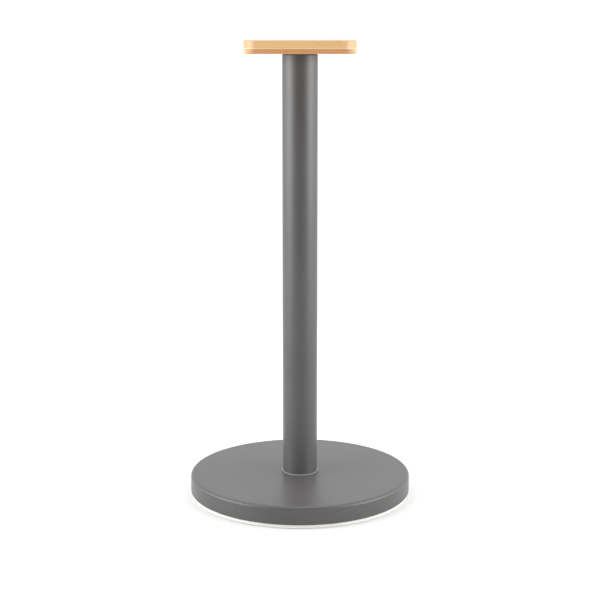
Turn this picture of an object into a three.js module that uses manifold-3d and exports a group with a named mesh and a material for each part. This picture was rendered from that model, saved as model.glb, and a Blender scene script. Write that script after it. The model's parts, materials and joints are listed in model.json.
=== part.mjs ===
// A counter-top paper towel holder: a weighted round base, an upright steel tube, and a square bamboo
// cap wider than a roll's core. The cap screws into the tube's top, and comes off to load a roll.
// Millimetres, +Z up, origin on the surface that the holder stands on, under the middle of the tube.

import * as THREE from "three";
import { mergeVertices } from "three/addons/utils/BufferGeometryUtils.js";
import Module from "manifold-3d";

const wasm = await Module();
wasm.setup();

// ---- Driving dimensions ----------------------------------------------------------------------------

const SEAT_GAP = 0.05; // between faces that rest on each other, such as a washer on a plate
const THREAD_GAP = 0.2; // radial room between a thread's crest and the hole that it runs in
const OVERSHOOT = 1; // how far a cutting tool runs past the face that it cuts
const SAME_POINT = 1e-6; // points of an outline that are closer than this are one point

const BASE_D = 166;
const SHELL_H = 13.5; // rim to top
const SHELL_T = 1.2; // sheet thickness
const SHELL_EDGE_R = 2.4; // outside radius of the drawn top edge
const SHELL_RIM_R = 0.4; // rounding of the cut rim

const FOOT_H = 2.8;
const FOOT_WIDTH = 16.3; // radial width of the soft ring
const FOOT_INSET = 0.7; // from the shell's outside face
const FOOT_EDGE = 0.5; // chamfer

const PLATE_T = 1.2;
const PLATE_RIM_GAP = 0.3; // bottom plate to the inside of the shell
const PLATE_HOLE_D = 30; // way in for the spanner

const BALLAST_RIM_GAP = 0.8;
const BALLAST_EDGE = 1.5; // chamfer
const HUB_D = 48; // full-height middle of the casting
const RELIEF_OUTER_D = 98; // inside of the casting's full-height rim
const RELIEF_DEPTH = 3;
const RELIEF_DRAFT = 1.2; // how far each side of the relief leans outwards
const COUNTERBORE_D = 28;
const CLAMPED_T = 3.2; // casting left between the counterbore and the shell

const SCREW_COUNT = 4;
const SCREW_CIRCLE_R = 57;
const SCREW_D = 4;
const SCREW_LENGTH = 7.5; // under the head
const SCREW_HEAD_D = 8;
const SCREW_HEAD_H = 2;
const SCREW_HEAD_RIM = 0.7; // upright part of the head's side
const SCREW_CROSS_LENGTH = 4.4;
const SCREW_CROSS_WIDTH = 1.1;
const SCREW_CROSS_DEPTH = 1.3;
const SCREW_HOLE_GAP = 0.3; // radial, in the bottom plate
const SCREW_BLIND_END = 0.9; // tapped hole beyond the screw's tip

const M8_D = 8;
const M8_HOLE_GAP = 0.5; // radial, where an M8 shank passes through without a thread

const BOLT_LENGTH = 25;
const BOLT_HEAD_D = 14;
const BOLT_HEAD_H = 4.4;
const BOLT_DOME = 2.4; // height of the rounded part of the button head
const BOLT_SOCKET_AF = 5; // hexagon, across flats
const BOLT_SOCKET_DEPTH = 2.6;

const SPRING_WASHER_D = 14.8;
const SPRING_WASHER_T = 2.2;
const SPRING_WASHER_SLIT = 0.9;
const SPRING_WASHER_SLANT = 30; // degrees off upright
const WASHER_HOLE_GAP = 0.25; // radial, a washer on an M8 shank
const FLAT_WASHER_D = 24;
const FLAT_WASHER_T = 2;

const POST_D = 25.8; // measured against the base; near a 1 in tube with its paint
const POST_WALL = 1.5;
const POST_LENGTH = 311.6;
const POST_END_CHAMFER = 0.3;
const PLUG_GAP = 0.05; // radial, plug in tube
const FOOT_PLUG_LENGTH = 20;
const TOP_PLUG_LENGTH = 16;
const PLUG_RECESS = 0.2; // plug below the tube's cut end
const PLUG_LEAD_IN = 0.9; // countersink at the mouth of the thread

const POST_SEAT_PROUD = 0.8; // how far the thin ring under the tube stands out past it
const POST_SEAT_T = 0.8;
const POST_SEAT_EDGE = 0.2; // chamfer

const CAP_SIDE = 79;
const CAP_T = 9.4;
const CAP_CORNER_R = 9.7;
const CAP_EDGE_R = 0.9;

const CAP_GASKET_INSET = 0.3; // gasket's edge inside the tube's outside face
const CAP_GASKET_T = 0.8;
const CAP_WASHER_INSET = 0.5; // washer's edge inside the tube's outside face
const CAP_WASHER_T = 1.5;
const CAP_WASHER_GAP = 0.4; // radial, in the recess under the cap

const INSERT_D = 12;
const INSERT_LENGTH = 6;
const INSERT_HOLE_GAP = 0.1;

const STUD_ENGAGEMENT = 7.5; // threaded length held in the top plug: six turns of an M8 thread
const STUD_TIP = 2; // narrower end below the thread, which finds the hole
const STUD_TIP_D = 6.6;
const STUD_TIP_CHAMFER = 1.1;
const STUD_IN_INSERT = 5.8;

const BASE_SEGMENTS = 64; // sides of the large round pieces
const POST_SEGMENTS = 40;
const SMALL_SEGMENTS = 24;
const ROUND_STEPS = 2; // half the straight pieces in a quarter-round edge

// ---- Sizes that follow, and heights worked out from the floor up ------------------------------------------

const BASE_R = BASE_D / 2;
const POST_R = POST_D / 2;
const CAP_GASKET_D = POST_D - 2 * CAP_GASKET_INSET;
const CAP_WASHER_D = POST_D - 2 * CAP_WASHER_INSET;
const RIM_Z = FOOT_H + SEAT_GAP;
const BASE_TOP_Z = RIM_Z + SHELL_H;
const PLATE_TOP_Z = RIM_Z + PLATE_T;
const BALLAST_Z = PLATE_TOP_Z + SEAT_GAP;
const BALLAST_TOP_Z = BASE_TOP_Z - SHELL_T - SEAT_GAP;
const COUNTERBORE_Z = BALLAST_TOP_Z - CLAMPED_T;
const FLAT_WASHER_Z = COUNTERBORE_Z - SEAT_GAP - FLAT_WASHER_T;
const SPRING_WASHER_Z = FLAT_WASHER_Z - SEAT_GAP - SPRING_WASHER_T;
const BOLT_SHOULDER_Z = SPRING_WASHER_Z - SEAT_GAP;
const POST_SEAT_Z = BASE_TOP_Z + SEAT_GAP;
const POST_Z = POST_SEAT_Z + POST_SEAT_T + SEAT_GAP;
const POST_TOP_Z = POST_Z + POST_LENGTH;
const CAP_GASKET_Z = POST_TOP_Z + SEAT_GAP;
const CAP_Z = CAP_GASKET_Z + CAP_GASKET_T + SEAT_GAP;
const CAP_RECESS_Z = CAP_Z + CAP_WASHER_T + SEAT_GAP;
const INSERT_Z = CAP_RECESS_Z + SEAT_GAP;
const STUD_TOP_Z = INSERT_Z + STUD_IN_INSERT;
const STUD_THREAD_Z = POST_TOP_Z - STUD_ENGAGEMENT;

// ---- Finishes ------------------------------------------------------------------------------------------

function finish(color, roughness, metalness) {
  return new THREE.MeshStandardMaterial({ color, roughness, metalness });
}

const GREY_PAINT = finish(0x7a7977, 0.45, 0.1);
const GREY_PLASTIC = finish(0x858482, 0.5, 0);
const ZINC = finish(0xb4b6b8, 0.35, 0.9);
const STEEL = finish(0x9a9b9c, 0.35, 1);
const CAST_IRON = finish(0x3c3b3a, 0.8, 0.6);
const SOFT_WHITE = finish(0xdedbd6, 0.6, 0);
const SILICONE = finish(0x55534f, 0.6, 0);
const BAMBOO = finish(0xdfb884, 0.55, 0);
const BRASS = finish(0xc2a05a, 0.35, 1);

// ---- Shapes ----------------------------------------------------------------------------------------------

/** A closed section, given as a path of (radius, height), turned round the Z axis. */
function turned(path, segments) {
  const isNew = (point, i, all) => i === 0 || point.distanceTo(all[i - 1]) > SAME_POINT;
  const points = path.getPoints(ROUND_STEPS).filter(isNew);
  if (points[0].x > 0 && points[0].distanceTo(points.at(-1)) > SAME_POINT) {
    points.push(points[0].clone());
  }
  if (THREE.ShapeUtils.area(points) < 0) {
    points.reverse();
  }
  return new THREE.LatheGeometry(points, segments).rotateX(Math.PI / 2);
}

/** A flat ring from z to z + height, with square or chamfered outer edges. */
function ring(outerD, innerD, z, height, segments, edge = 0) {
  const outer = outerD / 2;
  const top = z + height;
  const path = new THREE.Path();
  path.moveTo(innerD / 2, z);
  path.lineTo(outer - edge, z);
  path.lineTo(outer, z + edge);
  path.lineTo(outer, top - edge);
  path.lineTo(outer - edge, top);
  path.lineTo(innerD / 2, top);
  return turned(path, segments);
}

/** An upright cylinder from z to z + height. */
function rod(diameter, z, height, segments = SMALL_SEGMENTS) {
  const geometry = new THREE.CylinderGeometry(diameter / 2, diameter / 2, height, segments);
  return geometry.rotateX(Math.PI / 2).translate(0, 0, z + height / 2);
}

/** A geometry as a manifold-3d solid. */
function solidOf(geometry) {
  const bare = (geometry.index ? geometry.toNonIndexed() : geometry).clone();
  bare.deleteAttribute("normal");
  bare.deleteAttribute("uv");
  const merged = mergeVertices(bare, 1e-4);
  return new wasm.Manifold(
    new wasm.Mesh({
      numProp: 3,
      vertProperties: merged.attributes.position.array,
      triVerts: new Uint32Array(merged.index.array),
    }),
  );
}

/** A manifold-3d solid as a geometry. */
function geometryOf(solid) {
  const mesh = solid.getMesh();
  const geometry = new THREE.BufferGeometry();
  geometry.setAttribute("position", new THREE.BufferAttribute(new Float32Array(mesh.vertProperties), 3));
  geometry.setIndex(new THREE.BufferAttribute(new Uint32Array(mesh.triVerts), 1));
  return geometry;
}

/** The first geometry with the others cut out of it. */
function cut(geometry, ...tools) {
  return geometryOf(tools.reduce((left, tool) => left.subtract(solidOf(tool)), solidOf(geometry)));
}

/** Overlapping geometries as one. */
function joined(...pieces) {
  return geometryOf(pieces.map(solidOf).reduce((all, piece) => all.add(piece)));
}

/** Where the bottom plate's screws sit. */
function screwPlaces() {
  return Array.from({ length: SCREW_COUNT }, (_, i) => {
    const angle = ((i + 0.5) / SCREW_COUNT) * 2 * Math.PI;
    return [SCREW_CIRCLE_R * Math.cos(angle), SCREW_CIRCLE_R * Math.sin(angle)];
  });
}

/** Upright cylinders at the plate screws' places, from below the base up to a height. */
function screwHoles(diameter, top) {
  return screwPlaces().map(([x, y]) => rod(diameter, 0, top, SMALL_SEGMENTS / 2).translate(x, y, 0));
}

// ---- Base ------------------------------------------------------------------------------------------------

/** Painted steel cover, drawn from sheet: open underneath, with one hole for the clamping bolt. */
function baseShell() {
  const inner = BASE_R - SHELL_T;
  const innerTop = BASE_TOP_Z - SHELL_T;
  const innerEdge = SHELL_EDGE_R - SHELL_T;
  const hole = M8_D / 2 + M8_HOLE_GAP;
  const path = new THREE.Path();
  path.moveTo(hole, BASE_TOP_Z);
  path.lineTo(BASE_R - SHELL_EDGE_R, BASE_TOP_Z);
  path.absarc(BASE_R - SHELL_EDGE_R, BASE_TOP_Z - SHELL_EDGE_R, SHELL_EDGE_R, Math.PI / 2, 0, true);
  path.lineTo(BASE_R, RIM_Z + SHELL_RIM_R);
  path.lineTo(BASE_R - SHELL_RIM_R, RIM_Z);
  path.lineTo(inner, RIM_Z);
  path.lineTo(inner, innerTop - innerEdge);
  path.absarc(inner - innerEdge, innerTop - innerEdge, innerEdge, 0, Math.PI / 2, false);
  path.lineTo(hole, innerTop);
  return turned(path, BASE_SEGMENTS);
}

/** Cast ballast: full-height rim and hub, a shallow relief between them, and tapped holes for the screws. */
function ballast() {
  const outer = BASE_R - SHELL_T - BALLAST_RIM_GAP;
  const reliefZ = BALLAST_Z + RELIEF_DEPTH;
  const path = new THREE.Path();
  path.moveTo(M8_D / 2 + M8_HOLE_GAP, BALLAST_TOP_Z);
  path.lineTo(outer - BALLAST_EDGE, BALLAST_TOP_Z);
  path.lineTo(outer, BALLAST_TOP_Z - BALLAST_EDGE);
  path.lineTo(outer, BALLAST_Z);
  path.lineTo(RELIEF_OUTER_D / 2, BALLAST_Z);
  path.lineTo(RELIEF_OUTER_D / 2 - RELIEF_DRAFT, reliefZ);
  path.lineTo(HUB_D / 2 + RELIEF_DRAFT, reliefZ);
  path.lineTo(HUB_D / 2, BALLAST_Z);
  path.lineTo(COUNTERBORE_D / 2, BALLAST_Z);
  path.lineTo(COUNTERBORE_D / 2, COUNTERBORE_Z);
  path.lineTo(M8_D / 2 + M8_HOLE_GAP, COUNTERBORE_Z);
  const holeTop = RIM_Z - SEAT_GAP + SCREW_LENGTH + SCREW_BLIND_END;
  return cut(turned(path, BASE_SEGMENTS), ...screwHoles(SCREW_D + 2 * THREAD_GAP, holeTop));
}

/** Flat steel disc that closes the base, with a hole for the spanner and one for each screw. */
function bottomPlate() {
  const disc = ring(2 * (BASE_R - SHELL_T - PLATE_RIM_GAP), PLATE_HOLE_D, RIM_Z, PLATE_T, BASE_SEGMENTS);
  return cut(disc, ...screwHoles(SCREW_D + 2 * SCREW_HOLE_GAP, BASE_TOP_Z));
}

/** Soft ring that the holder stands on. It also hides the joint between plate and shell. */
function footRing() {
  const outer = BASE_R - FOOT_INSET;
  return ring(2 * outer, 2 * (outer - FOOT_WIDTH), 0, FOOT_H, BASE_SEGMENTS, FOOT_EDGE);
}

/** Pan-head screw with a cross recess, head down, at the middle of the base. */
function plateScrew() {
  const under = RIM_Z - SEAT_GAP;
  const headZ = under - SCREW_HEAD_H;
  const dome = SCREW_HEAD_H - SCREW_HEAD_RIM;
  const shank = rod(SCREW_D, under - SCREW_HEAD_H / 2, SCREW_LENGTH + SCREW_HEAD_H / 2, SMALL_SEGMENTS / 2);
  const path = new THREE.Path();
  path.moveTo(0, under);
  path.lineTo(SCREW_HEAD_D / 2, under);
  path.lineTo(SCREW_HEAD_D / 2, under - SCREW_HEAD_RIM);
  path.absellipse(0, under - SCREW_HEAD_RIM, SCREW_HEAD_D / 2, dome, 0, -Math.PI / 2, true);
  const head = turned(path, SMALL_SEGMENTS);
  const bar = new THREE.BoxGeometry(SCREW_CROSS_LENGTH, SCREW_CROSS_WIDTH, 2 * SCREW_CROSS_DEPTH);
  bar.translate(0, 0, headZ);
  return cut(joined(head, shank), bar, bar.clone().rotateZ(Math.PI / 2));
}

/** Button-head bolt that clamps ballast and shell to the tube, with a hexagon socket underneath. */
function clampBolt() {
  const headZ = BOLT_SHOULDER_Z - BOLT_HEAD_H;
  const head = new THREE.Path();
  head.moveTo(0, BOLT_SHOULDER_Z);
  head.lineTo(BOLT_HEAD_D / 2, BOLT_SHOULDER_Z);
  head.lineTo(BOLT_HEAD_D / 2, headZ + BOLT_DOME);
  head.absellipse(BOLT_SOCKET_AF / 2, headZ + BOLT_DOME, (BOLT_HEAD_D - BOLT_SOCKET_AF) / 2, BOLT_DOME,
    0, -Math.PI / 2, true);
  head.lineTo(0, headZ);
  const shank = rod(M8_D, BOLT_SHOULDER_Z - BOLT_HEAD_H / 4, BOLT_LENGTH + BOLT_HEAD_H / 4);
  const hexagonD = BOLT_SOCKET_AF / Math.cos(Math.PI / 6);
  const socket = rod(hexagonD, headZ - OVERSHOOT, BOLT_SOCKET_DEPTH + OVERSHOOT, 6);
  return cut(joined(turned(head, SMALL_SEGMENTS), shank), socket);
}

/** Split spring washer under the bolt's head. */
function springWasher() {
  const hole = M8_D + 2 * WASHER_HOLE_GAP;
  const body = ring(SPRING_WASHER_D, hole, SPRING_WASHER_Z, SPRING_WASHER_T, SMALL_SEGMENTS);
  const slit = new THREE.BoxGeometry(SPRING_WASHER_D, SPRING_WASHER_SLIT, 4 * SPRING_WASHER_T);
  slit.rotateX(THREE.MathUtils.degToRad(SPRING_WASHER_SLANT));
  slit.translate(SPRING_WASHER_D / 2, 0, SPRING_WASHER_Z + SPRING_WASHER_T / 2);
  return cut(body, slit);
}

/** Wide flat washer between the spring washer and the ballast. */
function flatWasher() {
  return ring(FLAT_WASHER_D, M8_D + 2 * WASHER_HOLE_GAP, FLAT_WASHER_Z, FLAT_WASHER_T, SMALL_SEGMENTS);
}

// ---- Post ------------------------------------------------------------------------------------------------

/** Thin ring that the tube stands on, a little wider than the tube. */
function postSeat() {
  const outerD = POST_D + 2 * POST_SEAT_PROUD;
  return ring(outerD, M8_D + 2 * M8_HOLE_GAP, POST_SEAT_Z, POST_SEAT_T, POST_SEGMENTS, POST_SEAT_EDGE);
}

/** Painted steel tube. */
function postTube() {
  const bore = POST_R - POST_WALL;
  const edge = POST_R - POST_END_CHAMFER;
  const path = new THREE.Path();
  path.moveTo(bore, POST_Z);
  path.lineTo(edge, POST_Z);
  path.lineTo(POST_R, POST_Z + POST_END_CHAMFER);
  path.lineTo(POST_R, POST_TOP_Z - POST_END_CHAMFER);
  path.lineTo(edge, POST_TOP_Z);
  path.lineTo(bore, POST_TOP_Z);
  return turned(path, POST_SEGMENTS);
}

/** Turned steel plug with a threaded hole, countersunk at the end away from the tube's middle. */
function plug(z, length, opensUpwards) {
  const outer = POST_R - POST_WALL - PLUG_GAP;
  const hole = M8_D / 2 + THREAD_GAP;
  const top = z + length;
  const topLead = opensUpwards ? PLUG_LEAD_IN : 0;
  const bottomLead = PLUG_LEAD_IN - topLead;
  const path = new THREE.Path();
  path.moveTo(outer, z);
  path.lineTo(outer, top);
  path.lineTo(hole + topLead, top);
  path.lineTo(hole, top - topLead);
  path.lineTo(hole, z + bottomLead);
  path.lineTo(hole + bottomLead, z);
  return turned(path, POST_SEGMENTS);
}

// ---- Cap -------------------------------------------------------------------------------------------------

/** Square bamboo board with round corners, a recess for the washer and a blind hole for the insert. */
function capBoard() {
  const half = CAP_SIDE / 2 - CAP_EDGE_R;
  const corner = CAP_CORNER_R - CAP_EDGE_R;
  const outline = new THREE.Shape();
  outline.moveTo(corner - half, -half);
  outline.absarc(half - corner, corner - half, corner, -Math.PI / 2, 0, false);
  outline.absarc(half - corner, half - corner, corner, 0, Math.PI / 2, false);
  outline.absarc(corner - half, half - corner, corner, Math.PI / 2, Math.PI, false);
  outline.absarc(corner - half, corner - half, corner, Math.PI, 1.5 * Math.PI, false);
  const board = new THREE.ExtrudeGeometry(outline, {
    depth: CAP_T - 2 * CAP_EDGE_R,
    bevelThickness: CAP_EDGE_R,
    bevelSize: CAP_EDGE_R,
    bevelSegments: ROUND_STEPS,
    curveSegments: ROUND_STEPS * 2,
  }).translate(0, 0, CAP_Z + CAP_EDGE_R);
  const recessD = CAP_WASHER_D + 2 * CAP_WASHER_GAP;
  const recess = rod(recessD, CAP_Z - OVERSHOOT, CAP_RECESS_Z - CAP_Z + OVERSHOOT, POST_SEGMENTS);
  const holeTop = INSERT_Z + INSERT_LENGTH + INSERT_HOLE_GAP;
  const hole = rod(INSERT_D + 2 * INSERT_HOLE_GAP, CAP_Z - OVERSHOOT, holeTop - CAP_Z + OVERSHOOT);
  return cut(board, recess, hole);
}

/** Threaded insert, screwed into the bamboo. Both its threads are plain here, at their outside diameters. */
function capInsert() {
  const hole = rod(M8_D + 2 * THREAD_GAP, INSERT_Z - OVERSHOOT, INSERT_LENGTH + 2 * OVERSHOOT);
  return cut(rod(INSERT_D, INSERT_Z, INSERT_LENGTH), hole);
}

/** Stud fixed in the insert. Its threaded part runs in the top plug, and its narrower tip finds the hole. */
function capStud() {
  const tipZ = STUD_THREAD_Z - STUD_TIP;
  const path = new THREE.Path();
  path.moveTo(0, STUD_TOP_Z);
  path.lineTo(M8_D / 2, STUD_TOP_Z);
  path.lineTo(M8_D / 2, STUD_THREAD_Z);
  path.lineTo(STUD_TIP_D / 2, STUD_THREAD_Z);
  path.lineTo(STUD_TIP_D / 2, tipZ + STUD_TIP_CHAMFER);
  path.lineTo(STUD_TIP_D / 2 - STUD_TIP_CHAMFER, tipZ);
  path.lineTo(0, tipZ);
  return turned(path, SMALL_SEGMENTS);
}

/** Steel washer in the recess, which spreads the tube's thin edge over the bamboo. */
function capWasher() {
  return ring(CAP_WASHER_D, M8_D + 2 * WASHER_HOLE_GAP, CAP_Z, CAP_WASHER_T, POST_SEGMENTS);
}

/** Silicone ring between the washer and the tube's end, which keeps the cap from working loose. */
function capGasket() {
  return ring(CAP_GASKET_D, M8_D + 2 * WASHER_HOLE_GAP, CAP_GASKET_Z, CAP_GASKET_T, POST_SEGMENTS);
}

// ---- Assembly --------------------------------------------------------------------------------------------

const holder = new THREE.Group();

function add(name, geometry, material) {
  const mesh = new THREE.Mesh(geometry, material);
  mesh.name = name;
  holder.add(mesh);
  return mesh;
}

add("base_shell", baseShell(), GREY_PAINT);
add("ballast_casting", ballast(), CAST_IRON);
add("bottom_plate", bottomPlate(), ZINC);
add("foot_ring", footRing(), SOFT_WHITE);
screwPlaces().forEach(([x, y], i) => {
  add(`plate_screw_${i + 1}`, plateScrew(), ZINC).position.set(x, y, 0);
});
add("flat_washer", flatWasher(), ZINC);
add("spring_washer", springWasher(), STEEL);
add("clamp_bolt", clampBolt(), STEEL);
add("post_seat", postSeat(), GREY_PLASTIC);
add("post_tube", postTube(), GREY_PAINT);
add("foot_plug", plug(POST_Z + PLUG_RECESS, FOOT_PLUG_LENGTH, false), STEEL);
add("top_plug", plug(POST_TOP_Z - PLUG_RECESS - TOP_PLUG_LENGTH, TOP_PLUG_LENGTH, true), STEEL);
add("cap_board", capBoard(), BAMBOO);
add("cap_insert", capInsert(), BRASS);
add("cap_stud", capStud(), STEEL);
add("cap_washer", capWasher(), ZINC);
add("cap_gasket", capGasket(), SILICONE);

export default holder;
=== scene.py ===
# %% [markdown]
# # A paper towel holder with a bamboo cap
# The holder is a weighted round base, a painted steel tube and a square bamboo cap that unscrews to
# load a roll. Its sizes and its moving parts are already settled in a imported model, which this lesson
# loads as a fixed frame. What is left is the surface: true round metal, real threads, and finishes.

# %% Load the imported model
import json
import math

import bmesh
import bpy
from mathutils import Matrix, Vector


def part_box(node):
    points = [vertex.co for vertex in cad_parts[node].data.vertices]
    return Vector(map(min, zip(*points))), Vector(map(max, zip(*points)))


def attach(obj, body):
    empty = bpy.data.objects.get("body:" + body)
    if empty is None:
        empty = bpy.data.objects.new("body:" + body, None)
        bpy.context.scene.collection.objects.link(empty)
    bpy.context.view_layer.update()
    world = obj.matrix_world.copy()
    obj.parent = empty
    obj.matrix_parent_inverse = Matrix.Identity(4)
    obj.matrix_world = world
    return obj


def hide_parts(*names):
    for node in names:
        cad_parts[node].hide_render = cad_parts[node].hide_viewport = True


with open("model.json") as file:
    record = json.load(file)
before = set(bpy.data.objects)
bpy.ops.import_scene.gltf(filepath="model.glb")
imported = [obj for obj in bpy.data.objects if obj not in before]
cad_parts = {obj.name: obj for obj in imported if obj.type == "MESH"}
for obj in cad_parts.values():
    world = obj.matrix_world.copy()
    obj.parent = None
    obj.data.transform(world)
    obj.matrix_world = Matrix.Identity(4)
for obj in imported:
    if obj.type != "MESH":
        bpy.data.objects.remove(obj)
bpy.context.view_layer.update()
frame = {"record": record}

# %% [markdown]
# Every piece below takes its place from the box of the solid that it stands for, so nothing is fitted
# by eye. Small sizes are easier to read in millimetres, and Blender works in metres, so one factor
# turns one into the other.

# %% Millimetres, and the heights of a solid
MM = 0.001


def heights(node):
    """The lowest and the highest point of a solid, in millimetres."""
    low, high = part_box(node)
    return low.z / MM, high.z / MM


def radius(node):
    """Half the width of a round solid, in millimetres."""
    low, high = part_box(node)
    return (high.x - low.x) / 2 / MM


print("tube:", heights("post_tube"), "radius", round(radius("post_tube"), 2))

# %% [markdown]
# ## Turning a shape on a lathe
# Most of the holder is round, so it is drawn as half a section and spun. A section typed as bare
# corners would look like paper: pressed and turned metal always has a small round at each edge, and
# that round is what catches the light. So a corner is given as radius, height and rounding, and one
# function puts the arcs in. It adds a point just past each arc too, which keeps the flat faces flat
# when Blender shades them smoothly.

# %% Round the corners of a section
ARC_STEPS = 6
HOLD = 0.12  # millimetres from the end of an arc to the point that holds the flat face


def section(corners):
    """The points of a section through (radius, height, rounding) corners, in millimetres."""
    points = []
    for i, (r, z, rounding) in enumerate(corners):
        corner = Vector((r, z))
        if not rounding:
            points.append(corner)
            continue
        before = (Vector(corners[i - 1][:2]) - corner).normalized()
        after = (Vector(corners[(i + 1) % len(corners)][:2]) - corner).normalized()
        half = before.angle(after) / 2
        reach = rounding / math.tan(half)
        centre = corner + (before + after).normalized() * rounding / math.sin(half)
        start = corner + before * reach - centre
        sweep = start.angle_signed(corner + after * reach - centre)
        points.append(corner + before * (reach + HOLD))
        for step in range(ARC_STEPS + 1):
            angle = -sweep * step / ARC_STEPS
            points.append(centre + Vector((start.x * math.cos(angle) - start.y * math.sin(angle),
                                           start.x * math.sin(angle) + start.y * math.cos(angle))))
        points.append(corner + after * (reach + HOLD))
    return points


print("a rounded square has", len(section([(1, 0, 0.2), (3, 0, 0.2), (3, 2, 0.2), (1, 2, 0.2)])), "points")

# %% [markdown]
# Blender's Spin tool could turn the section, but a few lines of bmesh say exactly where each point
# goes, and that is needed for the threads: there the radius of a point depends on its height and its
# angle as well. A point on the axis is made once, so the middle of a solid piece is a clean fan.

# %% Spin a section round the Z axis
LARGE_ROUND = 256  # sides of the base and the tube
SMALL_ROUND = 96  # sides of the screws, plugs and washers
SHARP_EDGE = math.radians(32)


def even_angles(sides):
    """Directions round the axis, evenly spaced."""
    return [2 * math.pi * side / sides for side in range(sides)]


def finished_object(name, mesh):
    """A scene object from a bmesh, shaded smoothly except over its sharp edges."""
    bmesh.ops.recalc_face_normals(mesh, faces=mesh.faces)
    for face in mesh.faces:
        face.smooth = True
    for edge in mesh.edges:
        edge.smooth = len(edge.link_faces) == 2 and edge.calc_face_angle(math.pi) < SHARP_EDGE
    data = bpy.data.meshes.new(name)
    mesh.to_mesh(data)
    mesh.free()
    piece = bpy.data.objects.new(name, data)
    bpy.context.scene.collection.objects.link(piece)
    return piece


def spun(name, points, angles, press=None):
    """A closed section in millimetres, spun. press(r, z, angle) gives a point's own radius."""
    mesh = bmesh.new()
    rings = []
    for r, z in points:
        if r < HOLD / 10:
            rings.append([mesh.verts.new((0, 0, z * MM))] * len(angles))
            continue
        own = [(press(r, z, angle) if press else r) * MM for angle in angles]
        rings.append([mesh.verts.new((far * math.cos(angle), far * math.sin(angle), z * MM))
                      for far, angle in zip(own, angles)])
    for ring, following in zip(rings, rings[1:] + rings[:1]):
        for side in range(len(angles)):
            beside = (side + 1) % len(angles)
            corners = dict.fromkeys((ring[side], ring[beside], following[beside], following[side]))
            if len(corners) > 2:
                mesh.faces.new(list(corners))
    return finished_object(name, mesh)


print("one side of the base is", round(2 * math.pi * radius("base_shell") / LARGE_ROUND, 2), "mm wide")

# %% [markdown]
# ## Screw threads
# A thread is a groove wound round a rod, so at any height and angle its depth follows one wave: how
# many turns up the rod this point is, less its share of a turn round it. The standard profile has
# 60 degree flanks, a narrow flat crest and a wider flat root. The same wave, moved out by a little
# room, makes the nut, so a rod and its nut match wherever they are, and keep matching as they unscrew.

# %% The wave of a screw thread
CREST = 0.0625  # share of a turn from the middle of the crest to its edge
ROOT = 0.375  # share of a turn from the middle of the crest to the edge of the root
THREAD_ROWS = 12  # rings of points in each turn
M8_PITCH = 1.25
M8_DEPTH = 0.7
M8_R = 4.0
M8_NUT_R = 3.45  # radius inside the crests of a nut


def tooth(z, angle, pitch):
    """1 on the crest of a right-hand thread, 0 at its root."""
    turns = z / pitch - angle / (2 * math.pi)
    from_crest = abs(turns - math.floor(turns) - 0.5)
    return min(1, max(0, (ROOT - from_crest) / (ROOT - CREST)))


def rod_thread(crest, depth, pitch, low, high, run_out=0.0):
    """A press for a rod's thread, which can run out towards its low end."""
    def press(r, z, angle):
        if not low <= z <= high:
            return r
        fade = min(1, (z - low) / run_out) if run_out else 1
        return min(r, crest - depth * fade * (1 - tooth(z, angle, pitch)))
    return press


def nut_thread(r, z, angle):
    """A press for the M8 thread in a hole: its groove takes the crests of the rod."""
    return max(r, M8_NUT_R + M8_DEPTH * tooth(z, angle, M8_PITCH))


def threaded_side(start, end, pitch=M8_PITCH):
    """Section points along a threaded side, close enough together to show the thread."""
    steps = max(2, round(abs(end[1] - start[1]) / pitch * THREAD_ROWS))
    return [Vector(start).lerp(Vector(end), step / steps) for step in range(steps + 1)]


print("one turn of an M8 thread has", len(threaded_side((0, 0), (0, M8_PITCH))) - 1, "rows")

# %% [markdown]
# ## Cutting holes
# A hole that isn't on the axis can't be turned, so a cutter is modelled as a solid and a Boolean
# modifier takes it away. The modifier is applied at once and the cutter is deleted, which leaves a
# plain mesh. Marking the sharp edges again afterwards keeps the rim of each hole crisp.

# %% Take one shape away from another
MERGE = 0.001 * MM


def cut_away(piece, *cutters):
    """The piece with the cutters' shapes taken out of it."""
    for cutter in cutters:
        step = piece.modifiers.new("cut", "BOOLEAN")
        step.operation = "DIFFERENCE"
        step.solver = "EXACT"
        step.object = cutter
    seen = piece.evaluated_get(bpy.context.evaluated_depsgraph_get())
    mesh = bmesh.new()
    mesh.from_mesh(seen.to_mesh())
    name = piece.name
    for used in (piece, *cutters):
        data = used.data
        bpy.data.objects.remove(used)
        bpy.data.meshes.remove(data)
    bmesh.ops.remove_doubles(mesh, verts=mesh.verts, dist=MERGE)
    bmesh.ops.dissolve_degenerate(mesh, edges=mesh.edges, dist=MERGE)
    return finished_object(name, mesh)


def drill(r, low, high, x=0.0, y=0.0, sides=48):
    """An upright cylinder to cut with, in millimetres."""
    cutter = spun("drill", [Vector(p) for p in ((0, low), (r, low), (r, high), (0, high))],
                  even_angles(sides))
    cutter.data.transform(Matrix.Translation((x * MM, y * MM, 0)))
    return cutter


def block(corners, low, high, spread=1.0):
    """An upright prism over (x, y) corners in millimetres; its top outline is spread times as large."""
    mesh = bmesh.new()
    below = [mesh.verts.new((x * MM, y * MM, low * MM)) for x, y in corners]
    above = [mesh.verts.new((x * MM * spread, y * MM * spread, high * MM)) for x, y in corners]
    mesh.faces.new(below)
    mesh.faces.new(above)
    for i in range(len(corners)):
        beside = (i + 1) % len(corners)
        mesh.faces.new((below[i], below[beside], above[beside], above[i]))
    return finished_object("block", mesh)


print("cutters are solids:", len(even_angles(48)), "sides on a drill")

# %% [markdown]
# ## Writing a finish as sums
# A finish is a network of nodes, and most of it is arithmetic: a bit more gloss here, a darker line
# there. Wiring Math nodes by hand hides the sum, so one small class wraps a socket and turns Python's
# own signs into Math nodes. Its one general method adds every other kind of node. Everything is
# measured from the piece's own coordinates, so a finish stays put when the piece moves.

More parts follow.
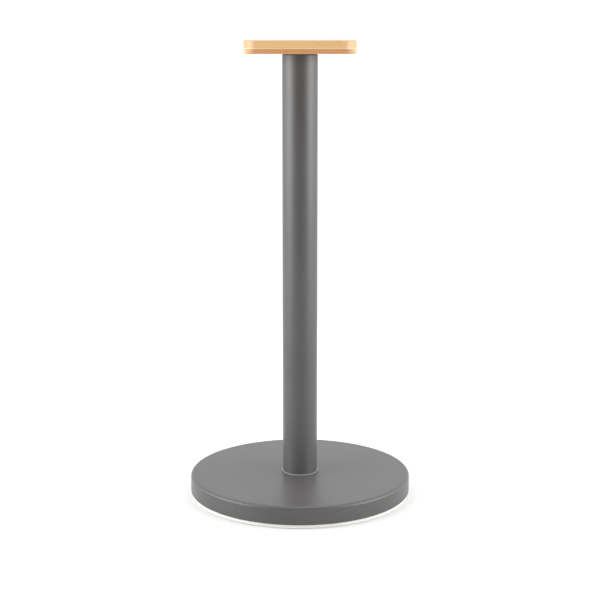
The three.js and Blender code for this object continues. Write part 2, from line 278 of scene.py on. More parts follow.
# %% A wire that can be added and multiplied
class Wire:
    """One output in a network of nodes. Arithmetic on it adds Math nodes."""

    def __init__(self, tree, socket=None):
        self.tree = tree
        self.socket = socket

    def node(self, kind, settings=None, inputs=None, output=0):
        """Adds any node: settings first, then the values or wires of its sockets."""
        made = self.tree.nodes.new("ShaderNode" + kind)
        for name, value in (settings or {}).items():
            setattr(made, name, value)
        for name, value in (inputs or {}).items():
            if isinstance(value, Wire):
                self.tree.links.new(value.socket, made.inputs[name])
            else:
                made.inputs[name].default_value = value
        return Wire(self.tree, made.outputs[output])

    def sum(self, operation, *values):
        return self.node("Math", {"operation": operation}, dict(enumerate(values)))

    def __add__(self, other):
        return self.sum("ADD", self, other)

    def __radd__(self, other):
        return self.sum("ADD", other, self)

    def __sub__(self, other):
        return self.sum("SUBTRACT", self, other)

    def __rsub__(self, other):
        return self.sum("SUBTRACT", other, self)

    def __mul__(self, other):
        return self.sum("MULTIPLY", self, other)

    def __rmul__(self, other):
        return self.sum("MULTIPLY", other, self)

    def __truediv__(self, other):
        return self.sum("DIVIDE", self, other)

    def __abs__(self):
        return self.sum("ABSOLUTE", self)

    def floor(self):
        return self.sum("FLOOR", self)

    def ramp(self, low, high, start=0.0, end=1.0):
        """start below low, end above high, and a smooth step between them."""
        levels = {"Value": self, "From Min": low, "From Max": high, "To Min": start, "To Max": end}
        return self.node("MapRange", {"interpolation_type": "SMOOTHSTEP"}, levels)

    def tint(self, first, second):
        """The first colour where the wire is 0, the second where it is 1."""
        return self.node("Mix", {"data_type": "RGBA"}, {0: self, 6: first, 7: second}, 2)

    def stretched(self, x, y, z):
        """A vector with its three parts multiplied."""
        return self.node("VectorMath", {"operation": "MULTIPLY"}, {0: self, 1: (x, y, z)})

    def grain(self, scale, detail=2.0, roughness=0.5):
        """Soft noise over a vector, near 0.5 on average."""
        levels = {"Vector": self, "Scale": scale, "Detail": detail, "Roughness": roughness}
        return self.node("TexNoise", {}, levels)

    def axes(self):
        """The three parts of a vector."""
        split = self.node("SeparateXYZ", inputs={0: self})
        return [Wire(self.tree, output) for output in split.socket.node.outputs]

    def raised(self, height):
        """A bump of the given height, in millimetres, where the wire is 1."""
        return self.node("Bump", {}, {"Height": self, "Strength": 1.0, "Distance": height * MM})


def new_finish(name, **fixed):
    """A material, and a wire that carries the piece's own coordinates in metres."""
    material = bpy.data.materials.new(name)
    material.use_nodes = True
    shader = material.node_tree.nodes["Principled BSDF"]
    for socket, value in fixed.items():
        shader.inputs[socket.replace("_", " ")].default_value = value
    return material, Wire(material.node_tree).node("TexCoord", output="Object")


def feed(material, **wires):
    """Joins wires to the sockets of the material's shader."""
    shader = material.node_tree.nodes["Principled BSDF"]
    for socket, wire in wires.items():
        material.node_tree.links.new(wire.socket, shader.inputs[socket.replace("_", " ")])
    print(material.name, "has", len(material.node_tree.nodes), "nodes")


# %% [markdown]
# ## Grey powder paint
# Powder paint is sprayed on dry and melts into one even skin, a little uneven like the peel of an
# orange, with dimples a millimetre or two apart and only a few thousandths of a millimetre deep.
# The grey is warm and satin: a dull surface would lose the soft image of the tube in the base.

# %% The satin grey paint
satin_grey, place = new_finish("satin_grey_paint", IOR=1.41)
cloud = place.grain(14.0, 3.0)
speck = place.grain(5200.0, 1.0)
tone = cloud.ramp(0.3, 0.7) * 0.6 + speck.ramp(0.35, 0.75) * 0.4
peel = place.grain(620.0, 2.0, 0.4)
feed(satin_grey,
     Base_Color=tone.tint((0.055, 0.0535, 0.0525, 1), (0.068, 0.0662, 0.065, 1)),
     Roughness=0.33 + 0.06 * cloud + 0.04 * speck,
     Normal=peel.raised(0.004))

# %% [markdown]
# ## Bamboo
# A bamboo board is glued up from strips of the cane's wall. Cut along the strip, its fibres are long
# fine lines. Across it, they are dots. This cap has a thick ply over a thin one that lies the other
# way, so on each side one ply shows lines and the other shows the darker dots of its cut ends. The
# finish works out which way the fibres run at each point, and lets the grain follow from that.

# %% Which way the fibres run
cap_low, cap_high = heights("cap_board")
LOWER_PLY = 3.4
STRIP = 19.75 * MM
STRIPS_ASIDE = 100.5  # keeps the strips' numbers positive, with a strip in the middle
PLY_NUMBERS = 31.0  # sets the upper ply's strips apart from the lower ply's
glue_height = (cap_low + LOWER_PLY) * MM

bamboo, place = new_finish("glued_bamboo", IOR=1.48)
x, y, z = place.axes()
facing_x, facing_y = place.node("TexCoord", output="Normal").axes()[:2]
upper = z.ramp(glue_height - 0.02 * MM, glue_height + 0.02 * MM)
along = y + upper * (x - y)
across = x + upper * (y - x)
cut_end = (abs(facing_y) + upper * (abs(facing_x) - abs(facing_y))).ramp(0.35, 0.85)
strip = (across / STRIP + STRIPS_ASIDE).floor()
strip_tone = strip.node("TexWhiteNoise", {"noise_dimensions": "1D"}, {"W": strip + upper * PLY_NUMBERS})
print("the lower ply ends at", round(glue_height / MM, 2), "mm")

# %% [markdown]
# The fibres themselves are a noise pulled out along the strip, at two widths: hair lines, and the
# wider soft streaks between bundles. The bundles are cells about half a millimetre across, which come
# out as dots where the strip is cut. A cane also has knots, where a band of short twisted fibres
# crosses the strip: a thin wavering line with a soft darker halo, at its own place in each strip.

# %% Fibres, bundles and knots
fibres = place.node("CombineXYZ", inputs={0: along * 0.02, 1: across, 2: z})
hair = fibres.grain(4200.0, 3.0, 0.6)
streak = fibres.grain(900.0, 3.0, 0.55)
bundle = fibres.node("TexVoronoi", inputs={"Vector": fibres, "Scale": 2000.0}).ramp(0.1, 0.45, 1.0, 0.0)
knot_edge = place.grain(130.0, 4.0, 0.6)
knot_place = (strip_tone - 0.5) * 0.07 + (knot_edge - 0.5) * 0.012
knotted = strip_tone.ramp(0.48, 0.52) * (1 - cut_end)
from_knot = abs(along - knot_place)
knot_line = from_knot.ramp(0.0001, 0.0009, 1.0, 0.0) * hair.ramp(0.25, 0.6)
knot_halo = from_knot.ramp(0.0006, 0.0070, 1.0, 0.0) * streak.ramp(0.2, 0.7)
knot = (knot_line * 0.34 + knot_halo * 0.22) * knotted
strip_seam = abs(across / STRIP + STRIPS_ASIDE - strip - 0.5).ramp(0.4925, 0.4985)
ply_seam = abs(z - glue_height).ramp(0.03 * MM, 0.12 * MM, 1.0, 0.0)
# painted highlight: a pale band in the upper ply just above the join of the plies, where an edge catches
# the light
painted_seam_highlight = upper * z.ramp(glue_height + 0.3 * MM, glue_height + 0.9 * MM, 1.0, 0.0)
print("bamboo strips are", STRIP / MM, "mm wide")

# %% [markdown]
# The colours then go on in turn: straw-coloured long grain, the darker cut ends, the knots, the
# hair-thin glue lines, and a painted highlight, a pale band just above the join of the plies. The
# board is rubbed with clear oil, so its shine is soft, and the cut ends, which drink the oil, are
# duller.

# %% Colour and shine of the bamboo
PALE_STRAW = (0.560, 0.354, 0.170, 1)
STRAW = (0.486, 0.294, 0.126, 1)
CUT_PALE = (0.436, 0.215, 0.086, 1)
CUT_DARK = (0.326, 0.141, 0.053, 1)
KNOT_BROWN = (0.350, 0.190, 0.078, 1)
GLUE_BROWN = (0.300, 0.160, 0.068, 1)
# the colour of the painted highlight above the join of the plies
PAINTED_HIGHLIGHT = (0.680, 0.480, 0.275, 1)

long_tone = streak.ramp(0.3, 0.72) * 0.40 + hair.ramp(0.3, 0.7) * 0.22 + strip_tone * 0.38
cut_tone = bundle * 0.5 + hair.ramp(0.3, 0.7) * 0.2 + strip_tone * 0.3
long_grain = long_tone.tint(PALE_STRAW, STRAW)
end_grain = cut_tone.tint(CUT_PALE, CUT_DARK)
board = (cut_end * (1 - upper * 0.55)).tint(long_grain, end_grain)
board = knot.tint(board, KNOT_BROWN)
# the painted highlight goes over the grain just above the join of the plies
board = (painted_seam_highlight * 0.7).tint(board, PAINTED_HIGHLIGHT)
board = (strip_seam * 0.45).tint(board, GLUE_BROWN)
board = (ply_seam * 0.6).tint(board, GLUE_BROWN)
relief = hair * 0.5 + streak * 0.3 - bundle * cut_end * 0.5 - strip_seam * 0.4 - ply_seam * 0.6
feed(bamboo,
     Base_Color=board,
     Roughness=0.36 + 0.10 * streak + 0.12 * cut_end + 0.06 * knot,
     Normal=relief.raised(0.018))

# %% [markdown]
# ## Plain metals
# The screws and washers inside are bare or plated metal, so they have little colour of their own and
# everything is in their shine. Turning and stamping leave fine rings round the axis, so the noise for
# them is read along the distance from the axis, which draws circles. Zinc plate is bluer and
# blotched, bare steel is greyer, and brass is yellow with browner patches where it has dulled.

# %% Zinc plate, steel and brass
def ring_marks(place, spacing):
    """Fine circular tool marks round the Z axis, spacing millimetres apart."""
    level = place.stretched(1.0, 1.0, 0.0)
    reach = place.node("VectorMath", {"operation": "LENGTH"}, {0: level}, "Value")
    up = place.axes()[2]
    return place.node("CombineXYZ", inputs={0: reach, 1: up}).grain(1 / (spacing * MM), 3.0, 0.6)


def turned_metal(name, bright, dull, shine, spacing, **fixed):
    """A bare metal with ring marks, and patches that have dulled."""
    metal, place = new_finish(name, Metallic=1.0, **fixed)
    patch = place.grain(240.0, 4.0, 0.6).ramp(0.35, 0.7)
    marks = ring_marks(place, spacing)
    feed(metal,
         Base_Color=(patch * 0.7 + marks * 0.3).tint(bright, dull),
         Roughness=shine + 0.12 * patch + 0.08 * marks,
         Normal=marks.raised(0.004))
    return metal


zinc = turned_metal("bright_zinc_plate", (0.66, 0.68, 0.71, 1), (0.52, 0.54, 0.56, 1), 0.24, 0.35)
zinc_screw = turned_metal("zinc_plated_screws", (0.70, 0.71, 0.73, 1), (0.55, 0.56, 0.57, 1), 0.20, 0.25)
steel = turned_metal("bare_steel", (0.56, 0.56, 0.55, 1), (0.40, 0.39, 0.38, 1), 0.26, 0.22)
brass = turned_metal("brass", (0.76, 0.56, 0.25, 1), (0.56, 0.38, 0.16, 1), 0.24, 0.20)

# %% [markdown]
# ## Cast iron
# Iron cast in sand keeps the print of the sand: a skin of small lumps, nearly black, with traces of
# rust in the hollows. The lumps are real roughness of a tenth of a millimetre, so the bump is large.

# %% The black skin of a casting
cast_iron, place = new_finish("sand_cast_iron", Metallic=0.35)
lumps = place.grain(900.0, 4.0, 0.65)
rust = place.grain(70.0, 4.0, 0.6).ramp(0.52, 0.72)
hollows = lumps.ramp(0.35, 0.6, 1.0, 0.0)
skin = lumps.ramp(0.3, 0.75).tint((0.022, 0.021, 0.020, 1), (0.062, 0.060, 0.058, 1))
feed(cast_iron,
     Base_Color=(rust * hollows * 0.6).tint(skin, (0.110, 0.052, 0.028, 1)),
     Roughness=0.62 + 0.2 * lumps,
     Normal=lumps.raised(0.12))

# %% [markdown]
# ## Silicone and plastic
# The ring under the base is clear silicone that looks milky, because light goes a little way in and
# comes out again: that is subsurface scattering. The seal under the cap is the same rubber filled
# dark. The thin ring under the tube is plain moulded plastic, matt, with the grain of its mould.

# %% Soft foot, seal and seat
milky, place = new_finish("milky_silicone", IOR=1.41, Subsurface_Weight=0.25, Subsurface_Scale=0.002,
                          Subsurface_Radius=(1.0, 0.95, 0.9))
haze = place.grain(60.0, 3.0)
dust = place.grain(1800.0, 3.0, 0.6).ramp(0.55, 0.75)
feed(milky,
     Base_Color=(haze * 0.5 + dust * 0.3).tint((0.60, 0.59, 0.57, 1), (0.52, 0.51, 0.49, 1)),
     Roughness=0.44 + 0.14 * dust + 0.08 * haze,
     Normal=place.grain(1500.0, 2.0).raised(0.010))

dark_rubber, place = new_finish("dark_silicone", IOR=1.41)
dust = place.grain(2400.0, 3.0, 0.6).ramp(0.5, 0.8)
feed(dark_rubber,
     Base_Color=dust.tint((0.060, 0.058, 0.055, 1), (0.100, 0.096, 0.092, 1)),
     Roughness=0.50 + 0.15 * dust,
     Normal=place.grain(2200.0, 2.0).raised(0.008))

seat_grey, place = new_finish("grey_moulded_ring", IOR=1.46)
mould = place.grain(3000.0, 2.0)
feed(seat_grey,
     Base_Color=mould.tint((0.168, 0.164, 0.158, 1), (0.196, 0.192, 0.185, 1)),
     Roughness=0.40 + 0.12 * mould,
     Normal=mould.raised(0.006))

# %% [markdown]
# ## Dressing a piece
# The imported model's record already says which moving body each solid belongs to, and the table
# below says which finish each solid is to have. So each piece is given the name of its solid and
# looks the rest up.

# %% Give a piece its finish and its place
FINISHES = {
    "grey_paint": satin_grey, "bamboo": bamboo, "foot_silicone": milky, "seat_plastic": seat_grey,
    "ballast_iron": cast_iron, "zinc_plate": zinc, "zinc_screws": zinc_screw, "plain_steel": steel,
    "insert_brass": brass, "gasket_silicone": dark_rubber,
}
SLOTS = {
    "grey_paint": ("base_shell", "post_tube"),
    "ballast_iron": ("ballast_casting",),
    "zinc_plate": ("bottom_plate", "flat_washer", "cap_washer"),
    "zinc_screws": ("plate_screw_1", "plate_screw_2", "plate_screw_3", "plate_screw_4"),
    "foot_silicone": ("foot_ring",),
    "plain_steel": ("spring_washer", "clamp_bolt", "foot_plug", "top_plug", "cap_stud"),
    "seat_plastic": ("post_seat",),
    "bamboo": ("cap_board",),
    "insert_brass": ("cap_insert",),
    "gasket_silicone": ("cap_gasket",),
}


def dressed(piece, node):
    """The piece stands for a solid: same body, same finish, and the solid is hidden."""
    body = next(b for b, nodes in frame["record"]["behaviour"]["bodies"].items() if node in nodes)
    slot = next(s for s, nodes in SLOTS.items() if node in nodes)
    piece.data.materials.clear()
    piece.data.materials.append(FINISHES[slot])
    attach(piece, body)
    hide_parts(node)
    size = [round(side / MM, 2) for side in piece.dimensions]
    print(f"{piece.name}: {size} mm, {len(piece.data.polygons)} faces, {slot}")


# %% [markdown]
# ## The base cover
# The cover is a dish pressed from steel sheet, painted, and open underneath. Its top edge is the bend
# of the sheet itself: a round of 2.4 mm outside and half that inside. The sheet's cut edge below is
# barely eased. Spinning the sheet's section, and not a solid disc, keeps its real wall.

# %% The pressed steel cover
SHEET = 1.2
BOLT_PASSAGE = 4.5  # radius of the hole for the clamping bolt
BEND = 2.4
rim_z, base_top = heights("base_shell")
base_r = radius("base_shell")

base_cover = spun("base_cover", section([
    (BOLT_PASSAGE, base_top, 0.15), (base_r, base_top, BEND), (base_r, rim_z, 0.35),
    (base_r - SHEET, rim_z, 0.2), (base_r - SHEET, base_top - SHEET, BEND - SHEET),
    (BOLT_PASSAGE, base_top - SHEET, 0.15),
]), even_angles(LARGE_ROUND))
dressed(base_cover, "base_shell")

# %% [markdown]
# ## The ballast weight
# A cast iron disc fills the cover and keeps a full roll from tipping the holder. It has the marks of
# its making: soft corners where sand can't hold a sharp one, sides that lean so that the pattern
# comes out of the mould, and then sharp bored holes, because those are drilled afterwards.

# %% The cast iron weight
SCREW_PLACES = [(57 * math.cos(turn), 57 * math.sin(turn)) for turn in
                (math.radians(45 + 90 * quarter) for quarter in range(4))]
weight_low, weight_top = heights("ballast_casting")
weight_r = radius("ballast_casting")
bore_top = heights("flat_washer")[1] + 0.05
RELIEF = 3.0
LEAN = 1.2
BEVEL = 1.5

weight = spun("ballast_weight", section([
    (BOLT_PASSAGE, weight_top, 0.3), (weight_r - BEVEL, weight_top, 0.8),
    (weight_r, weight_top - BEVEL, 0.8), (weight_r, weight_low, 0.5), (49, weight_low, 0.7),
    (49 - LEAN, weight_low + RELIEF, 1.0), (24 + LEAN, weight_low + RELIEF, 1.0),
    (24, weight_low, 0.7), (14, weight_low, 0.25), (14, bore_top, 0.2), (BOLT_PASSAGE, bore_top, 0.2),
]), even_angles(LARGE_ROUND))
weight = cut_away(weight, *[drill(2.2, weight_low - 1, 11.2, x, y) for x, y in SCREW_PLACES])
dressed(weight, "ballast_casting")

# %% [markdown]
# ## The closing plate
# A flat zinc-plated disc closes the base. It is stamped, so its upper edge is rolled over a little
# and its lower one is crisp. The hole in the middle lets a key reach the clamping bolt.

# %% The stamped plate
plate_low, plate_top = heights("bottom_plate")
plate_r = radius("bottom_plate")
plate = spun("closing_plate", section([
    (15, plate_low, 0.12), (plate_r, plate_low, 0.12), (plate_r, plate_top, 0.3),
    (15, plate_top, 0.3),
]), even_angles(LARGE_ROUND))
plate = cut_away(plate, *[drill(2.3, plate_low - 1, plate_top + 1, x, y) for x, y in SCREW_PLACES])
dressed(plate, "bottom_plate")

# %% [markdown]
# ## The soft foot
# A ring of milky silicone under the rim is all that touches the table. It covers the joint between
# cover and plate, and stands just inside the cover, so from the side it shows as a pale line.

# %% The silicone ring
foot_low, foot_top = heights("foot_ring")
foot_r = radius("foot_ring")
foot = spun("soft_foot", section([
    (66, foot_low, 0.6), (foot_r, foot_low, 0.8), (foot_r, foot_top, 0.4), (66, foot_top, 0.4),
]), even_angles(LARGE_ROUND))
dressed(foot, "foot_ring")

# %% [markdown]
# ## The cover's screws
# Four pan-head screws hold the plate. A screw is a turned shape with one extra cut, the cross for
# the driver, whose four arms narrow as they go in. The first screw is turned and cut, and the others
# are copies of it moved round the circle.

# %% A pan-head screw, and its cross
SCREW_PITCH = 0.7
SCREW_R = 2.0
SCREW_HEAD_R = 4.0
SCREW_RIM = 0.7
CROSS_ARM = 2.2
CROSS_HALF_WIDTH = 0.55
CROSS_DEPTH = 1.3
CROSS_TAPER = 0.62
DOME_STEPS = 10
screw_low, screw_top = heights("plate_screw_1")
under_head = screw_low + 2.0


def dome(inner_r, outer_r, rim, crown):
    """Section points round a domed head, from its rim to its crown."""
    turns = [math.pi / 2 * step / DOME_STEPS for step in range(DOME_STEPS + 1)]
    return [Vector((inner_r + (outer_r - inner_r) * math.cos(turn), rim + (crown - rim) * math.sin(turn)))
            for turn in turns]


screw_section = [
    Vector((0, screw_top)),
    *threaded_side((SCREW_R - 0.5, screw_top), (SCREW_R, screw_top - 0.5), SCREW_PITCH),
    *threaded_side((SCREW_R, screw_top - 0.55), (SCREW_R, under_head + 0.1), SCREW_PITCH),
    Vector((SCREW_R, under_head)), Vector((SCREW_HEAD_R - 0.15, under_head)),
    Vector((SCREW_HEAD_R, under_head - 0.1)),
    *dome(0, SCREW_HEAD_R, under_head - SCREW_RIM, screw_low),
]
screw_thread = rod_thread(SCREW_R, 0.42, SCREW_PITCH, under_head + 0.1, screw_top, 0.8)
screw = spun("cover_screw", screw_section, even_angles(SMALL_ROUND), screw_thread)
arms = [(CROSS_ARM, CROSS_HALF_WIDTH), (-CROSS_ARM, CROSS_HALF_WIDTH),
        (-CROSS_ARM, -CROSS_HALF_WIDTH), (CROSS_ARM, -CROSS_HALF_WIDTH)]
cross_low = screw_low - CROSS_DEPTH
cross_top = screw_low + CROSS_DEPTH
driver = [block(arms, cross_low, cross_top, CROSS_TAPER),
          block([(-y, x) for x, y in arms], cross_low, cross_top, CROSS_TAPER)]
screw = cut_away(screw, *driver)
for number, (x, y) in enumerate(SCREW_PLACES, 1):
    copy = bpy.data.objects.new(f"cover_screw_{number}", screw.data.copy())
    bpy.context.scene.collection.objects.link(copy)
    copy.data.transform(Matrix.Translation((x * MM, y * MM, 0)) @ Matrix.Rotation(0.7 * number, 4, "Z"))
    dressed(copy, f"plate_screw_{number}")
spare = screw.data
bpy.data.objects.remove(screw)
bpy.data.meshes.remove(spare)

# %% [markdown]
# ## The clamping bolt and its washers
# One M8 bolt holds everything: it comes up through weight and cover into the tube's lower plug. Under
# its button head sit a split washer, which keeps it from working loose, and a wide flat one. The
# split washer is a flat ring with one slanted saw cut.

# %% Bolt, split washer and wide washer
SOCKET_ACROSS = 5.0
SOCKET_DEPTH = 2.6
bolt_low, bolt_top = heights("clamp_bolt")
shoulder = heights("spring_washer")[0] - 0.05
bolt_r = radius("clamp_bolt")
CHAMFER = 0.8

bolt_section = [
    Vector((0, bolt_top)),
    *threaded_side((M8_R - CHAMFER, bolt_top), (M8_R, bolt_top - CHAMFER)),
    *threaded_side((M8_R, bolt_top - CHAMFER - 0.1), (M8_R, shoulder + 3)),
    Vector((M8_R, shoulder)), Vector((bolt_r - 0.2, shoulder)), Vector((bolt_r, shoulder - 0.15)),
    *dome(SOCKET_ACROSS / 2, bolt_r, bolt_low + 2.4, bolt_low), Vector((0, bolt_low)),
]
bolt_thread = rod_thread(M8_R, M8_DEPTH, M8_PITCH, shoulder + 3, bolt_top, 2.0)
bolt = spun("clamping_bolt", bolt_section, even_angles(SMALL_ROUND), bolt_thread)
key_r = SOCKET_ACROSS / 2 / math.cos(math.pi / 6)
bolt = cut_away(bolt, drill(key_r, bolt_low - 1, bolt_low + SOCKET_DEPTH, sides=6))
dressed(bolt, "clamp_bolt")


def washer(name, node, hole, edge, sides=SMALL_ROUND):
    """A flat ring with eased edges, as high and wide as its solid."""
    low, top = heights(node)
    outer = radius(node)
    return spun(name, section([
        (hole, low, edge), (outer, low, edge), (outer, top, edge), (hole, top, edge),
    ]), even_angles(sides))


SAW_CUT = 0.9
split_washer = washer("split_washer", "spring_washer", 4.25, 0.2)
split_low, split_top = heights("spring_washer")
saw = block([(2, -SAW_CUT / 2), (10, -SAW_CUT / 2), (10, SAW_CUT / 2), (2, SAW_CUT / 2)], -4, 4)
saw.data.transform(Matrix.Translation((0, 0, (split_low + split_top) / 2 * MM))
                   @ Matrix.Rotation(math.radians(30), 4, "X"))
split_washer = cut_away(split_washer, saw)
dressed(split_washer, "spring_washer")
dressed(washer("wide_washer", "flat_washer", 4.25, 0.2), "flat_washer")

# %% [markdown]
# ## The tube and its plugs
# The upright is steel tube, cut square, with its ends lightly chamfered, then painted like the base.
# It stands on a thin grey ring that saves the paint. Both its ends are closed by steel plugs with
# an M8 thread through them: the lower takes the clamping bolt, the upper takes the cap.

# %% Seat ring, tube and plugs
TUBE_WALL = 1.5
tube_low, tube_top = heights("post_tube")
tube_r = radius("post_tube")
dressed(washer("seat_ring", "post_seat", 4.5, 0.2, LARGE_ROUND), "post_seat")

tube = spun("tube", section([
    (tube_r - TUBE_WALL, tube_low, 0.2), (tube_r, tube_low, 0.3), (tube_r, tube_top, 0.3),
    (tube_r - TUBE_WALL, tube_top, 0.2),
]), even_angles(LARGE_ROUND))
dressed(tube, "post_tube")


def threaded_plug(name, node, lead_low, lead_top):
    """A round plug with an M8 thread through it; each mouth widens over its own lead-in."""
    low, top = heights(node)
    outer = radius(node)
    wall = section([(outer - 3, low, 0), (outer, low, 0.4), (outer, top, 0.4), (outer - 3, top, 0)])
    hole = [
        *threaded_side((M8_NUT_R + lead_top, top), (M8_NUT_R, top - lead_top)),
        *threaded_side((M8_NUT_R, top - lead_top - 0.1), (M8_NUT_R, low + lead_low + 0.1)),
        *threaded_side((M8_NUT_R, low + lead_low), (M8_NUT_R + lead_low, low)),
    ]
    return spun(name, wall + hole, even_angles(SMALL_ROUND), nut_thread)


dressed(threaded_plug("lower_plug", "foot_plug", 1.5, 0.8), "foot_plug")
dressed(threaded_plug("upper_plug", "top_plug", 0.8, 1.5), "top_plug")

# %% [markdown]
# ## The bamboo cap
# The cap is a square board with round corners. It could be an extruded outline with a bevel, but it
# also needs a round recess below for the washer, and a blind hole for the brass insert. So it is spun
# like the rest: the section goes round through the middle of a side, and each point that belongs to
# the outside is pushed out to the square's outline. The directions are closer at the corners.

# %% The cap's outline, and its spin
CORNER_R = 9.7
ARRIS = 0.9
RECESS_GAP = 0.4  # round the washer
INSERT_HOLE_R = 6.1
OUTLINE_FROM = 20.0  # points nearer the axis than this stay round
CORNER_STEPS = 16
SIDE_STEPS = 10
half_side = radius("cap_board")
recess_r = radius("cap_washer") + RECESS_GAP
recess_top = heights("cap_washer")[1] + 0.05
hole_top = heights("cap_insert")[1] + 0.1


def to_outline(r, z, angle):
    """The distance to a square with round corners, r from the axis at the middle of its sides."""
    if r < OUTLINE_FROM:
        return r
    direction = Vector((abs(math.cos(angle)), abs(math.sin(angle))))
    flat = r / max(direction)
    corner_r = CORNER_R - (half_side - r)
    if flat * min(direction) <= r - corner_r:
        return flat
    corner = Vector((r - corner_r, r - corner_r))
    reach = direction.dot(corner)
    return reach + math.sqrt(reach ** 2 - corner.length_squared + corner_r ** 2)


def outline_angles():
    """Directions round the cap, close together where its corners turn."""
    straight = half_side - CORNER_R
    points = [(half_side, straight * side / SIDE_STEPS) for side in range(-SIDE_STEPS, SIDE_STEPS)]
    for step in range(CORNER_STEPS):
        turn = math.pi / 2 * step / CORNER_STEPS
        points.append((straight + CORNER_R * math.cos(turn), straight + CORNER_R * math.sin(turn)))
    quarter = [math.atan2(y, x) for x, y in points]
    return [angle + math.pi / 2 * number for number in range(4) for angle in quarter]


cap = spun("bamboo_cap", section([
    (0, cap_high, 0), (half_side, cap_high, ARRIS), (half_side, cap_low, ARRIS),
    (recess_r, cap_low, 0.25), (recess_r, recess_top, 0.15), (INSERT_HOLE_R, recess_top, 0.1),
    (INSERT_HOLE_R, hole_top, 0.15), (0, hole_top, 0),
]), outline_angles(), to_outline)
dressed(cap, "cap_board")

# %% [markdown]
# ## What holds the cap
# A brass insert is screwed into the board by a coarse thread outside and takes a steel stud by a fine
# one inside. The stud's lower end is narrower, to find its hole. A washer in the recess carries the
# board, and a soft seal under the washer keeps it from marking the paint.

# %% Insert, stud, washer and seal
insert_low, insert_top = heights("cap_insert")
insert_r = radius("cap_insert")
COARSE_PITCH = 1.75
wood_thread = rod_thread(insert_r, 0.7, COARSE_PITCH, insert_low + 0.3, insert_top)


def both_threads(r, z, angle):
    """The insert's coarse thread outside and its M8 thread inside."""
    return nut_thread(r, z, angle) if r < insert_r / 1.2 else wood_thread(r, z, angle)


insert = spun("brass_insert", [
    *threaded_side((M8_NUT_R + 0.6, insert_low), (M8_NUT_R, insert_low + 0.6)),
    *threaded_side((M8_NUT_R, insert_low + 0.7), (M8_NUT_R, insert_top - 0.4)),
    *threaded_side((M8_NUT_R, insert_top - 0.3), (M8_NUT_R + 0.3, insert_top)),
    *threaded_side((insert_r - 0.7, insert_top), (insert_r, insert_top - 0.7)),
    *threaded_side((insert_r, insert_top - 0.8), (insert_r, insert_low + 0.3)),
    Vector((insert_r, insert_low + 0.15)), Vector((insert_r - 0.15, insert_low)),
], even_angles(SMALL_ROUND), both_threads)
dressed(insert, "cap_insert")

stud_low, stud_top = heights("cap_stud")
tip_top = stud_low + 2.0
TIP_R = 3.28
TIP_CHAMFER = 1.1
stud = spun("threaded_stud", [
    Vector((0, stud_top)),
    *threaded_side((M8_R - CHAMFER, stud_top), (M8_R, stud_top - CHAMFER)),
    *threaded_side((M8_R, stud_top - CHAMFER - 0.1), (M8_R, tip_top + CHAMFER)),
    *threaded_side((M8_R, tip_top + CHAMFER - 0.1), (TIP_R, tip_top)),
    Vector((TIP_R, stud_low + TIP_CHAMFER)), Vector((TIP_R - TIP_CHAMFER, stud_low)), Vector((0, stud_low)),
], even_angles(SMALL_ROUND), rod_thread(M8_R, M8_DEPTH, M8_PITCH, tip_top, stud_top))
dressed(stud, "cap_stud")
dressed(washer("backing_washer", "cap_washer", 4.25, 0.25), "cap_washer")
dressed(washer("soft_seal", "cap_gasket", 4.25, 0.2), "cap_gasket")

# %% [markdown]
# ## A white room
# The holder stands on a white floor that meets a white wall with no line between them. A wide disc
# does for the floor. Far out, where it would show an edge against the world behind, it fades away:
# its alpha falls with the distance from the middle.

# %% The floor
FLOOR_R = 1.3
floor_white, place = new_finish("white_floor", IOR=1.4)
reach = place.node("VectorMath", {"operation": "LENGTH"}, {0: place}, "Value")
feed(floor_white,
     Base_Color=place.grain(3.0, 2.0).tint((0.60, 0.60, 0.60, 1), (0.62, 0.62, 0.62, 1)),
     Roughness=0.85 + 0.1 * place.grain(90.0),
     Alpha=reach.ramp(0.45, FLOOR_R - 0.1, 1.0, 0.0),
     Normal=place.grain(400.0).raised(0.02))
floor = spun("floor", [Vector((0, 0)), Vector((FLOOR_R / MM, 0)), Vector((FLOOR_R / MM, -4)),
                       Vector((0, -4))], even_angles(LARGE_ROUND))
floor.data.materials.append(floor_white)

# %% [markdown]
# ## Soft light
# Large soft panels at the sides put the long pale bands on the tube, and leave its front darker. The
# world gives the rest. It is white to look at but a little dimmer as light, which the Light Path node
# allows: the holder's greys then keep their depth against a clean white ground.

# %% Panels and world
PANEL_HEIGHT = 0.40
PANEL_AWAY = 1.5
PANEL_TALL = 0.7
PANEL_AIM = 0.3  # the height of the point on the tube that a panel faces
SUN_STRENGTH = 2.5
SUN_WIDTH = 90  # degrees


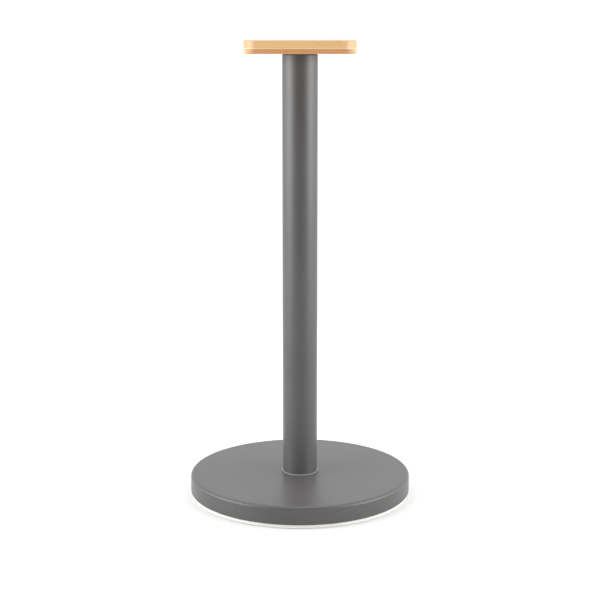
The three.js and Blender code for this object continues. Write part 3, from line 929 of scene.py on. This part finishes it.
def soft_panel(name, azimuth, width, radiance):
    """A rectangle of light at an azimuth in degrees from the front, facing the tube."""
    lamp = bpy.data.lights.new(name, "AREA")
    lamp.shape = "RECTANGLE"
    lamp.size = width
    lamp.size_y = PANEL_TALL
    lamp.energy = radiance * math.pi * width * PANEL_TALL
    panel = bpy.data.objects.new(name, lamp)
    bpy.context.scene.collection.objects.link(panel)
    turn = math.radians(azimuth)
    panel.location = (PANEL_AWAY * math.sin(turn), -PANEL_AWAY * math.cos(turn), PANEL_HEIGHT)
    towards = Vector((0, 0, PANEL_AIM)) - panel.location
    panel.rotation_euler = towards.to_track_quat("-Z", "Y").to_euler()
    panel.visible_camera = False
    print(name, "gives", round(lamp.energy, 1), "W")


for hand, side, share in (("left", -1, 1.04), ("right", 1, 0.95)):
    soft_panel(f"panel_{hand}_front", side * 48, 0.7, 4.2 * share)
    soft_panel(f"panel_{hand}", side * 72, 0.9, 10.8 * share)
    soft_panel(f"panel_{hand}_back", side * 100, 0.7, 3.4 * share)

sky_lamp = bpy.data.lights.new("soft_sun", "SUN")
sky_lamp.energy = SUN_STRENGTH
sky_lamp.angle = math.radians(SUN_WIDTH)
soft_sun = bpy.data.objects.new("soft_sun", sky_lamp)
bpy.context.scene.collection.objects.link(soft_sun)
print("the soft sun is", SUN_WIDTH, "degrees wide")

BEHIND_LIGHT = 1.22
FRONT_LIGHT = 0.02
world = bpy.data.worlds.new("white_room")
bpy.context.scene.world = world
world.use_nodes = True
ground = Wire(world.node_tree)
seen = ground.node("LightPath", output="Is Camera Ray")
depth = ground.node("TexCoord", output="Generated").axes()[1]
light = depth.ramp(-0.75, 0.35, FRONT_LIGHT, BEHIND_LIGHT)
strength = light + seen * (1.05 - light)
backdrop = world.node_tree.nodes["Background"]
world.node_tree.links.new(strength.socket, backdrop.inputs["Strength"])
backdrop.inputs["Color"].default_value = (1, 1, 1, 1)
bpy.context.scene.view_settings.view_transform = "Standard"
bpy.context.scene.view_settings.look = "None"

# %% [markdown]
# ## The camera
# The camera stands about a metre in front, just above the cap's height, and looks slightly down, so
# the base shows as a low ellipse and the cap almost edge on. A long lens keeps the tube's sides
# nearly parallel.

# %% The camera in front
LOOKS_DOWN = 11.05
camera = bpy.data.objects.new("camera", bpy.data.cameras.new("camera"))
bpy.context.scene.collection.objects.link(camera)
camera.location = (0, -0.9933, 0.3428)
camera.rotation_euler = (math.radians(90 - LOOKS_DOWN), 0, 0)
camera.data.lens = 81.47
camera.data.sensor_width = 36
bpy.context.scene.camera = camera
print("camera looks down", LOOKS_DOWN, "degrees")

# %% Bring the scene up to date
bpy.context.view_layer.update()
